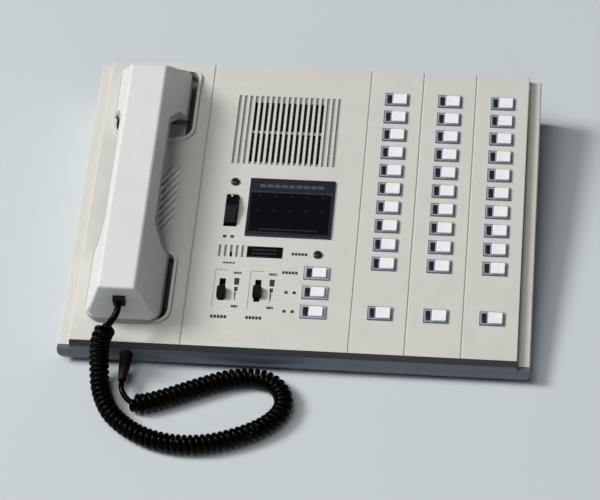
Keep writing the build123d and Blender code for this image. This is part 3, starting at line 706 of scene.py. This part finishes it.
def make_cap(size):
    width, depth = size
    cap = add_block("cap_pattern", (0, 0, (cap_top - cap_skirt) / 2), (width, depth, cap_top + cap_skirt))
    pick_edges(cap, lambda middle, way: abs(way.z) > 0.9)
    round_picked(cap_corner, 3)
    pick_faces(cap, faces_up)
    round_picked(cap_edge, 3)
    pick_faces(cap, lambda middle, normal: normal.z > 0.999 and middle.z > cap_top - 0.01)
    for share in dish_shares:
        bpy.ops.mesh.extrude_region_move(TRANSFORM_OT_translate={"value": (0, 0, -dish_step * mm)})
        bpy.ops.transform.resize(value=(share, share, 1), center_override=(0, 0, 0))
    bpy.ops.mesh.select_all(action="SELECT")
    bpy.ops.mesh.bisect(plane_co=(0, 0, lip_height * mm), plane_no=(0, 0, 1))
    pick_faces(cap, lambda middle, normal: abs(normal.y) > 0.999 and middle.z < lip_height)
    bpy.ops.mesh.extrude_faces_move(TRANSFORM_OT_shrink_fatten={"value": cap_lip * mm})
    smooth_flats(cap)
    return cap


station_pattern = make_cap(station_cap)
function_pattern = make_cap(function_cap)
print("cap faces", len(station_pattern.data.polygons), len(function_pattern.data.polygons))

# %% [markdown]
# Three panels carry ten keys each and a group key in front, and the control panel carries three more keys.
# The spots are worked out from the middle of the last row and the distance between rows, as a draughtsman
# would set them out. Each cap replaces the plain block of the model and moves with that key's body.

# %% Where the keys stand
key_panel_left, key_panel_width, column_shift = 187.5, 37.5, 0.4
row_pitch, last_row, group_row = 15.43, 209.8, 31.4
function_x, function_row = 161.7, 60.8
station_rows = [last_row - row * row_pitch for row in range(10)] + [group_row]
station_spots = [(key_panel_left + key_panel_width * (column + 0.5) + column_shift, y)
                 for column in range(3) for y in station_rows]
function_spots = [(function_x, function_row - row * row_pitch) for row in range(3)]
station_cap_shift = 2.35
function_cap_shift = 2.3


def set_cap(pattern, node, x, y):
    cap = copy_at(pattern, node + "_soft", x, y)
    give_finish(cap, key_white)
    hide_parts(node)
    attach(cap, node + "_cap")
    return cap


caps = [set_cap(station_pattern, f"station_key_{number:02d}", x + station_cap_shift, y)
        for number, (x, y) in enumerate(station_spots, 1)]
caps += [set_cap(function_pattern, f"function_key_{number}", x + function_cap_shift, y)
         for number, (x, y) in enumerate(function_spots, 1)]

# %% [markdown]
# A frame holds each cap and, to its left, a small smoky lamp window. The frame is a low block with a recessed
# floor inside a thin rim. Everything but the floor takes a darker finish, painted shade for the dark outline
# round each frame, and the three frames on the control panel are a little paler. The two openings are cut with
# cutter blocks and the Boolean modifier, because they go right through, and a Bevel modifier then softens
# every edge that catches the light.

# %% Key frames
frame_height, frame_rim, frame_recess, frame_edge = 1.2, 0.55, 0.4, 0.12
cap_gap, lamp_gap, cutter_height = 0.4, 0.2, 4
station_frame, function_frame = (16.7, 10.5), (17.6, 10.2)
station_lamp, station_lamp_shift = (3.2, 7.4), -5.1
function_lamp, function_lamp_shift = (3.4, 7.2), -4.9


def apply_modifiers(piece):
    work_on(piece)
    for modifier in list(piece.modifiers):
        bpy.ops.object.modifier_apply(modifier=modifier.name)


def cut(piece, cutter):
    """take the cutter's shape out of a piece, and the cutter with it"""
    knife = piece.modifiers.new("cut", "BOOLEAN")
    knife.object = cutter
    knife.solver = "EXACT"
    apply_modifiers(piece)
    bpy.data.objects.remove(cutter)


def soften_edges(piece, width, segments=2, angle=50):
    """rounds the edges sharper than the angle, by a width in millimetres"""
    bevel = piece.modifiers.new("soft edges", "BEVEL")
    bevel.width = width * mm
    bevel.segments = segments
    bevel.limit_method = "ANGLE"
    bevel.angle_limit = math.radians(angle)
    apply_modifiers(piece)
    smooth_flats(piece, angle)
    flatten = piece.modifiers.new("flat faces stay flat", "WEIGHTED_NORMAL")
    flatten.weight = 100
    flatten.keep_sharp = True
    apply_modifiers(piece)


def make_frame(size, cap_x, cap, lamp_x, lamp, floor_finish, rim_shade_finish):
    """a frame with openings round a cap and a lamp window of the given sizes"""
    block = add_block("frame_pattern", (0, 0, frame_height / 2), (*size, frame_height))
    pick_faces(block, faces_up)
    bpy.ops.mesh.inset(thickness=frame_rim * mm)
    bpy.ops.transform.translate(value=(0, 0, -frame_recess * mm))
    switch_mode("OBJECT")
    for x, (width, depth), gap in ((cap_x, cap, cap_gap), (lamp_x, lamp, lamp_gap)):
        cut(block, add_block("cutter", (x, 0, 0), (width + gap, depth + gap, cutter_height)))
    soften_edges(block, frame_edge)
    block.data.materials.append(floor_finish)
    block.data.materials.append(rim_shade_finish)
    # All faces but the floor take the darker finish: painted shade round the frame.
    floor = (frame_height - frame_recess) * mm
    for polygon in block.data.polygons:
        polygon.material_index = 0 if abs(polygon.center.z - floor) < 0.02 * mm else 1
    return block


station_frame_pattern = make_frame(
    station_frame, station_cap_shift, station_cap, station_lamp_shift, station_lamp, frame_grey,
    frame_grey_painted_rim_shade)
function_frame_pattern = make_frame(
    function_frame, function_cap_shift, function_cap, function_lamp_shift, function_lamp, frame_pale,
    frame_pale_painted_rim_shade)
frames = [copy_at(station_frame_pattern, "frame", x, y) for x, y in station_spots]
frames += [copy_at(function_frame_pattern, "frame", x, y) for x, y in function_spots]
key_frames = join("key_frames_soft", frames)
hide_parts("key_frames")
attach(key_frames, "console")
print("frames", len(station_spots) + len(function_spots), "faces", len(key_frames.data.polygons))

# %% [markdown]
# Beside each cap sits a lamp window, a block of smoky plastic with a soft upper edge. Two round pilot
# lamps stand behind the lever and to the right of the status window. A pilot lamp is a short cylinder whose
# upper edge is bevelled so far that it becomes a dome.

# %% Lamp windows and pilot lamps
lamp_top, lamp_foot, lamp_edge = 0.9, -1.5, 0.45
pilot_spots = ((99.0, 133.3), (161.3, 75.9))


def make_lamp(size):
    lamp = add_block("lamp_pattern", (0, 0, (lamp_top + lamp_foot) / 2), (*size, lamp_top - lamp_foot))
    pick_faces(lamp, faces_up)
    round_picked(lamp_edge, 3)
    smooth_flats(lamp)
    return lamp


def make_dome(name, sides, radius, height, edge, segments):
    """a short cylinder about the origin, in millimetres, with its upper edge rounded"""
    fresh_start()
    bpy.ops.mesh.primitive_cylinder_add(
        vertices=sides, radius=radius * mm, depth=height * mm, location=(0, 0, 0))
    dome = bpy.context.object
    dome.name = name
    pick_faces(dome, faces_up)
    round_picked(edge, segments)
    smooth_flats(dome)
    return dome


station_lamp_pattern = make_lamp(station_lamp)
function_lamp_pattern = make_lamp(function_lamp)
pilot_pattern = make_dome("pilot_pattern", sides=40, radius=3.0, height=4.0, edge=1.4, segments=5)
lamps = [copy_at(station_lamp_pattern, "lamp", x + station_lamp_shift, y) for x, y in station_spots]
lamps += [copy_at(function_lamp_pattern, "lamp", x + function_lamp_shift, y) for x, y in function_spots]
lamps += [copy_at(pilot_pattern, "pilot", x, y) for x, y in pilot_spots]
lamp_windows = join("lamp_windows", lamps)
give_finish(lamp_windows, lamp_navy)
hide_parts("lamp_lenses")
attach(lamp_windows, "console")
for pattern in (station_pattern, function_pattern, station_frame_pattern, function_frame_pattern,
                station_lamp_pattern, function_lamp_pattern, pilot_pattern):
    bpy.data.objects.remove(pattern)
print("lamps", len(lamps), "faces", len(lamp_windows.data.polygons))

# %% [markdown]
# The display is a dark bezel with a band above its window. The bezel is a block with the window's opening cut
# through it and its edges softened. The lens is a plate of glossy black plastic that lies a little deeper,
# and the small status window is a second plate.

# %% Display bezel, lens and status window
display_x, display_y = 139.3, 112.75
display_width, display_depth, display_height, display_foot = 59.2, 47.6, 1.6, -2.5
window_y, window_width, window_depth, window_cutter_height = 108.05, 55.0, 32.7, 8
lens_gap, lens_middle, lens_thickness = 0.2, 0.1, 2.2
status_place, status_size = (124.9, 76.2, -0.95), (24.4, 8.8, 3.1)
bezel_edge, lens_edge, status_edge = 0.3, 0.3, 0.35

bezel = add_block("display_bezel", (display_x, display_y, (display_height + display_foot) / 2),
                  (display_width, display_depth, display_height - display_foot))
cut(bezel, add_block("window_cutter", (display_x, window_y, 0),
                     (window_width, window_depth, window_cutter_height)))
soften_edges(bezel, bezel_edge, 3)
bezel.data.transform(face)
give_finish(bezel, display_navy)
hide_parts("display_unit")
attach(bezel, "console")


def make_plate(name, middle, size, edge):
    """a glossy plate on the slope, with a soft upper edge"""
    plate = add_block(name, middle, size)
    pick_faces(plate, faces_up)
    round_picked(edge, 2)
    pick_faces(plate, lambda middle, normal: normal.z > 0.999)
    bpy.ops.mesh.inset(thickness=edge * mm)
    smooth_flats(plate)
    plate.data.transform(face)
    give_finish(plate, display_black)
    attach(plate, "console")


make_plate("display_window", (display_x, window_y, lens_middle),
           (window_width - lens_gap, window_depth - lens_gap, lens_thickness), lens_edge)
make_plate("status_window", status_place, status_size, status_edge)
print("bezel faces", len(bezel.data.polygons))

# %% [markdown]
# The printing on the face is plain: a bracket beside each volume slot, a wedge of bars that gets narrower
# downwards, the words MAX and MIN, small squares and rows of short bars. Every mark is a thin raised shape,
# as screen ink is. A stroke is a flat block whose upper face is drawn in a little, and the words are text
# made into a mesh before they are laid on the face.

# %% Printed marks
ink_height, ink_draw_in = 0.05, 0.02
letter_share, letter_weight = 1.4, 0.16
dash_share = 0.8
bracket_front, bracket_back, bracket_line = 30.3, 60.5, 0.28


def stroke(x0, y0, x1, y1, z=0.0, x0_low=None, x1_low=None):
    """a thin printed bar; its lower end may be narrower than its upper end"""
    bar = add_block("stroke", ((x0 + x1) / 2, (y0 + y1) / 2, z), (x1 - x0, abs(y1 - y0), 2 * ink_height))
    if x0_low is not None:
        for vertex in bar.data.vertices:
            if vertex.co.y / mm < (y0 + y1) / 2:
                vertex.co.x = (x0_low if vertex.co.x / mm < (x0 + x1) / 2 else x1_low) * mm
    pick_faces(bar, faces_up)
    bpy.ops.mesh.inset(thickness=ink_draw_in * mm)
    switch_mode("OBJECT")
    return bar


def word(text, x, y, height):
    """a printed word, centred on a place"""
    fresh_start()
    bpy.ops.object.text_add(location=(0, 0, 0))
    label = bpy.context.object
    label.data.body = text
    label.data.size = height * letter_share * mm
    label.data.align_x = "CENTER"
    label.data.align_y = "CENTER"
    label.data.extrude = ink_height * mm
    label.data.offset = letter_weight * mm
    label.data.resolution_u = 2
    bpy.ops.object.convert(target="MESH")
    label.data.transform(Matrix.Translation(Vector((x, y, 0)) * mm))
    return label


def dashes(x0, x1, y, height, count, z=0.0):
    """a row of short bars"""
    pitch = (x1 - x0) / count
    return [stroke(x0 + i * pitch, y - height / 2, x0 + (i + dash_share) * pitch, y + height / 2, z)
            for i in range(count)]


def volume_marks(bracket_left, bracket_right, wedge_x):
    """the bracket, the wedge and the two words of one volume slot"""
    marks = [stroke(bracket_left, bracket_back, bracket_right, bracket_back + bracket_line),
             stroke(bracket_left, bracket_front, bracket_left + bracket_line, bracket_back)]
    marks += [stroke(wedge_x, 49.0, wedge_x + 3.6, 54.4, 0, wedge_x + 0.3, wedge_x + 3.5),
              stroke(wedge_x + 0.6, 44.0, wedge_x + 3.1, 47.4, 0, wedge_x + 0.8, wedge_x + 2.9),
              stroke(wedge_x + 1.0, 36.8, wedge_x + 2.2, 43.4, 0, wedge_x + 1.4, wedge_x + 1.9)]
    marks += [word("MAX", wedge_x + 1.9, 58.5, 1.8), word("MIN", wedge_x + 2.0, 31.8, 1.8)]
    return marks


marks = volume_marks(92.9, 101.6, 106.3) + volume_marks(117.0, 126.6, 130.4)
marks += dashes(92.9, 104.4, 23.3, 2.4, 5) + dashes(116.8, 128.0, 23.5, 2.4, 5)
marks += dashes(138.4, 149.3, 60.6, 2.2, 5) + dashes(97.2, 105.8, 66.5, 1.3, 4)
marks += dashes(143.4, 154.6, 75.8, 2.1, 5)
for x, y in ((142.4, 44.8), (147.9, 44.8), (142.3, 29.8), (147.9, 29.8)):
    marks += [stroke(x - 1.1, y - 1.1, x + 1.1, y + 1.1)]
for x in (96.1, 101.3):
    marks += [stroke(x - 1.2, 86.9, x + 1.2, 89.0)]
panel_print = join("panel_print", marks)
panel_print.data.transform(face)
give_finish(panel_print, print_ink)
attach(panel_print, "console")
print("printed faces", len(panel_print.data.polygons))

# %% [markdown]
# The display has fainter marks in grey. The header carries a plain row of dashes with a thin line under it.
# The marks behind the dark lens are fainter still: short bars where its lamps are, and a row of small dashes
# along its lower edge.

# %% Display marks
lens_top = lens_middle + lens_thickness / 2
status_top = status_place[2] + status_size[2] / 2
header_marks = [stroke(111.2, 125.2, 167.4, 125.45, display_height)]
header_marks += dashes(116.8, 162.4, 130.2, 2.6, 9, display_height)
glow = []
for x in (117.2, 128.2, 139.3, 150.1, 160.9):
    for y in (121.8, 109.9):
        glow += [stroke(x - 0.7, y, x + 0.7, y + 0.7, lens_top)]
glow += dashes(118.8, 159.4, 94.4, 0.8, 14, lens_top)
glow += dashes(116.2, 133.4, 77.6, 0.9, 8, status_top) + dashes(116.2, 133.4, 74.6, 0.9, 6, status_top)
for marks, finish in ((header_marks, dim_segments), (glow, faint_segments)):
    for mark in marks:
        give_finish(mark, finish)
display_print = join("display_print", header_marks + glow)
display_print.data.transform(face)
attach(display_print, "console")
print("display marks", len(header_marks), len(glow))

# %% [markdown]
# The larger mouldings have the right shape already, but their edges are knife sharp, and a moulded edge
# always shows a thin light line. So a copy of the model's mesh is merged into whole faces, its flat triangles
# are dissolved, and a Bevel modifier rounds every edge that is sharper than a set angle. The width differs
# from piece to piece: a wide one on the handset, a fine one where a panel is full of slots. The edges round
# the handset's flat back are rounded first, and much wider. They are picked by their place in the model.

# %% Moulded copies with soft edges
merge_distance, flat_angle, sharp_angle = 0.002, 0.6, 30
round_width, round_segments = 2.0, 4
handset_x, back_half, flank_half = -115.8, 12.7, 13
back_low, back_high = 62.7, 85.2
front_rim, front_end, front_low = -103.0, -101.9, 39
rear_end, rear_low = 81, 72
painted_sheen_top = 0.0160


def handset_back(middle, way):
    """the edges round the flat back of the handset, and the upright ones of its two ends"""
    off = abs(middle.x - handset_x)
    along = abs(off - back_half) < 0.05 and middle.z > back_low
    across = abs(way.x) > 0.999 and (middle.y < front_rim or middle.z > back_high)
    front = middle.y < front_end and middle.z > front_low and off > flank_half
    rear = middle.y > rear_end and middle.z > rear_low and off > flank_half
    return along or across or front or rear


def moulded(node, name, width, finish, body, segments=2, rounder=None):
    """a soft-edged copy of a part of the model, which it replaces; rounder picks the edges to round wide"""
    piece = bpy.data.objects.new(name, nodes[node].data.copy())
    piece.data.name = name
    add_to_scene(piece)
    work_on(piece)
    switch_mode("EDIT")
    bpy.ops.mesh.select_all(action="SELECT")
    bpy.ops.mesh.remove_doubles(threshold=merge_distance * mm)
    bpy.ops.mesh.dissolve_limited(angle_limit=math.radians(flat_angle))
    switch_mode("OBJECT")
    if rounder:
        pick_edges(piece, rounder)
        round_picked(round_width, round_segments)
        switch_mode("OBJECT")
    soften_edges(piece, width, segments, sharp_angle)
    give_finish(piece, finish)
    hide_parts(node)
    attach(piece, body)
    print(name, "faces", len(piece.data.polygons))
    return piece


moulded("handset_outer_shell", "handset_outer", 0.6, handset_cream, "handset", 3,
        handset_back)
# The inner shell takes the darker cream: painted shade.
moulded("handset_inner_shell", "handset_inner", 0.4, handset_painted_shade, "handset")
cord_plug = moulded("handset_cord_plug", "cord_plug", 0.35, black_knob, "handset")
moulded("cradle_panel", "cradle_cover", 0.25, cream_cradle, "console")
moulded("control_panel", "control_cover", 0.12, cream_control, "console")
moulded("key_panels", "key_covers", 0.12, cream_panel, "console")
moulded("talk_lever", "talk_lever_soft", 0.35, black_knob, "lever")
for side in ("left", "right"):
    moulded(f"volume_knob_{side}", f"volume_knob_{side}_soft", 0.4, black_knob, f"{side}_knob")
moulded("hook_plunger", "hook_plunger_soft", 0.4, plunger_cream, "hook")
trim_bar = moulded("front_trim", "front_trim_soft", 0.25, charcoal_trim, "console")
# The trim's lower faces take the lighter, bluish finish, a painted sheen; the upper slope keeps the plain
# charcoal.
trim_bar.data.materials.append(trim_painted_sheen)
for polygon in trim_bar.data.polygons:
    polygon.material_index = 1 if polygon.center.z < painted_sheen_top else 0
moulded("base_cord_boot", "base_cord_boot_soft", 0.5, black_rubber, "console")

# %% [markdown]
# Slanting ribs stand beside the sound grooves under the handle and catch the light; their cream is lighter
# than the panel's, a painted highlight on top of it. A cream insert closes the slots from below, so that they
# don't show black. Each of them is a slim block, turned on the flat face and cut off upright at both ends, and
# the ribs are softened.

# %% Sound ribs and sound insert
groove_right, groove_run, groove_angle = 59.3, 13.0, 55
groove_back, groove_pitch = 143.6, 6.9
groove_backs = [groove_back + (1 - number) * groove_pitch for number in range(8)]
bar_length, bar_width = 60, 1.5
rib_low, rib_high, rib_shift, rib_edge = -0.1, 0.55, -1.6, 0.15
insert_start, insert_run, insert_low, insert_high = 4.4, 4.2, -2.6, -0.75


def slanted_bar(name, right, back, run, low, high, shift=0):
    """a bar along a slanting groove, cut off upright at both ends"""
    bar = add_block(name, (0, 0, (low + high) / 2), (bar_length, bar_width, high - low))
    bar.data.transform(Matrix.Translation(Vector((right, back, 0)) * mm)
                       @ Matrix.Rotation(math.radians(groove_angle), 4, "Z")
                       @ Matrix.Translation(Vector((0, shift, 0)) * mm))
    for x, y, way in ((right, 0, (1, 0, 0)), (right - run, 0, (-1, 0, 0)), (0, groove_back, (0, 1, 0))):
        switch_mode("EDIT")
        bpy.ops.mesh.select_all(action="SELECT")
        bpy.ops.mesh.bisect(plane_co=(x * mm, y * mm, 0), plane_no=way, clear_outer=True, use_fill=True)
        switch_mode("OBJECT")
    return bar


def finish_on_panel(piece, finish):
    """a flat piece laid on the slope, as part of the panels"""
    piece.data.transform(face)
    give_finish(piece, finish)
    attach(piece, "console")


ribs = [slanted_bar("rib", groove_right, back, groove_run, rib_low, rib_high, rib_shift)
        for back in groove_backs]
ribs = [rib for rib in ribs if len(rib.data.polygons)]
sound_ribs = join("sound_ribs", ribs)
soften_edges(sound_ribs, rib_edge)
insert_right = groove_right - groove_run + insert_start
inserts = [slanted_bar("insert", insert_right, back, insert_run, insert_low, insert_high)
           for back in groove_backs[1:6]]
sound_insert = join("sound_insert", inserts)
finish_on_panel(sound_ribs, rib_painted_highlight)
finish_on_panel(sound_insert, cream_panel)
print("ribs", len(ribs), "faces", len(sound_ribs.data.polygons))

# %% [markdown]
# Narrow strips close the seams between the panels just below the face, so that a seam is a soft line and not
# a black one. Their cream is darker than the panels': painted shade for the seam's line.

# %% Seam strips
cradle_width, face_depth = 75.0, 235.0
seam_places = [cradle_width] + [key_panel_left + key_panel_width * column for column in range(3)]
strip_end_gap = 0.5
strip_z, strip_size = -0.95, (0.64, face_depth - 2 * strip_end_gap, 0.8)
strips = [add_block("strip", (x, face_depth / 2, strip_z), strip_size) for x in seam_places]
seam_strips = join("seam_strips", strips)
finish_on_panel(seam_strips, seam_painted_shade)
print("seam strips", len(seam_places))

# %% [markdown]
# The talk lever has a small white dot near its upper end. It is a low dome, laid on the lever's own slope,
# and it moves with the lever.

# %% The lever's dot
dot_place = (98.4, 119.6, 3.12)
lever_slope = math.atan2(2.8, 10.8)
lever_dot = make_dome("lever_dot", sides=24, radius=0.7, height=0.5, edge=0.2, segments=3)
lever_dot.data.transform(face @ Matrix.Translation(Vector(dot_place) * mm)
                         @ Matrix.Rotation(-lever_slope, 4, "X"))
give_finish(lever_dot, key_white)
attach(lever_dot, "lever")
print("dot on the lever", [round(value / mm, 1) for value in lever_dot.bound_box[0]])

# %% [markdown]
# Now that the plug is modelled, the length of the curly cord's wire is printed. The smooth lead and the plug
# move with the handset.

# %% The cord's facts
print("cord", round(length_of(curly_line), 2), "m of wire")
